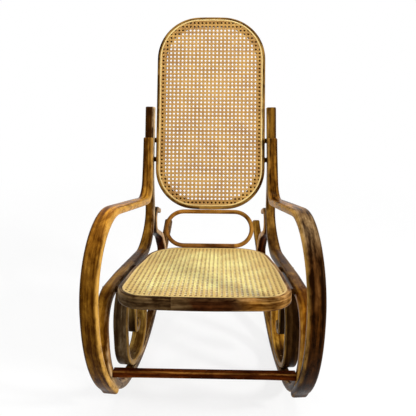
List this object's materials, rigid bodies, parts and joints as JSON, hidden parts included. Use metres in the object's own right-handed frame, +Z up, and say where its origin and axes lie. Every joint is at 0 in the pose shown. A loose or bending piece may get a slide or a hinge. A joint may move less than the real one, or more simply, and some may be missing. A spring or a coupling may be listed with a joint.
{
  "type": "bentwood rocking chair",
  "caption": "Rocking chair of steam-bent wood with caned seat and back, scrolled side frames and curved runners.",
  "frame": {"origin": "centre of the footprint's bounding box, on the floor under the runners", "axes": "+Z up, the sitter faces -Y, +X is the chair's left-hand side as the sitter has it, seen on the right from the front"},
  "size_m": [0.5998, 0.9792, 1.0625],
  "materials": {
    "bent_beech": "walnut stain under a worn satin lacquer",
    "shaded_beech": "darker walnut stain, satin",
    "red_beech": "reddish walnut stain, satin",
    "back_cane": "woven rattan cane, golden",
    "seat_cane": "woven rattan cane, pale straw",
    "screw": "dulled"
  },
  "bodies": {
    "root": {"seat_frame": "bent_beech", "seat_cane": "seat_cane", "seat_spline": "seat_cane", "left_loop_screw": "screw", "right_loop_screw": "screw", "back_frame": "bent_beech", "back_cane": "back_cane", "back_spline": "back_cane", "rear_loop": "bent_beech", "front_stretcher": "red_beech", "left_stile_runner": "bent_beech", "left_arm_loop": "bent_beech", "left_oval_scroll": "shaded_beech", "left_rear_strut": "shaded_beech", "left_back_screw_lower": "screw", "left_back_spacer_lower": "shaded_beech", "left_back_screw_upper": "screw", "left_back_spacer_upper": "shaded_beech", "left_seat_screw_front": "screw", "left_seat_spacer_front": "shaded_beech", "left_seat_screw_rear": "screw", "left_seat_spacer_rear": "shaded_beech", "left_arm_screw_upper": "screw", "left_arm_screw_lower": "screw", "left_arm_foot_screw": "screw", "left_scroll_foot_screw": "screw", "left_strut_top_screw": "screw", "left_strut_foot_screw": "screw", "left_scroll_top_screw": "screw", "right_stile_runner": "bent_beech", "right_arm_loop": "bent_beech", "right_oval_scroll": "shaded_beech", "right_rear_strut": "shaded_beech", "right_back_screw_lower": "screw", "right_back_spacer_lower": "shaded_beech", "right_back_screw_upper": "screw", "right_back_spacer_upper": "shaded_beech", "right_seat_screw_front": "screw", "right_seat_spacer_front": "shaded_beech", "right_seat_screw_rear": "screw", "right_seat_spacer_rear": "shaded_beech", "right_arm_screw_upper": "screw", "right_arm_screw_lower": "screw", "right_arm_foot_screw": "screw", "right_scroll_foot_screw": "screw", "right_strut_top_screw": "screw", "right_strut_foot_screw": "screw", "right_scroll_top_screw": "screw"}
  },
  "joints": []
}
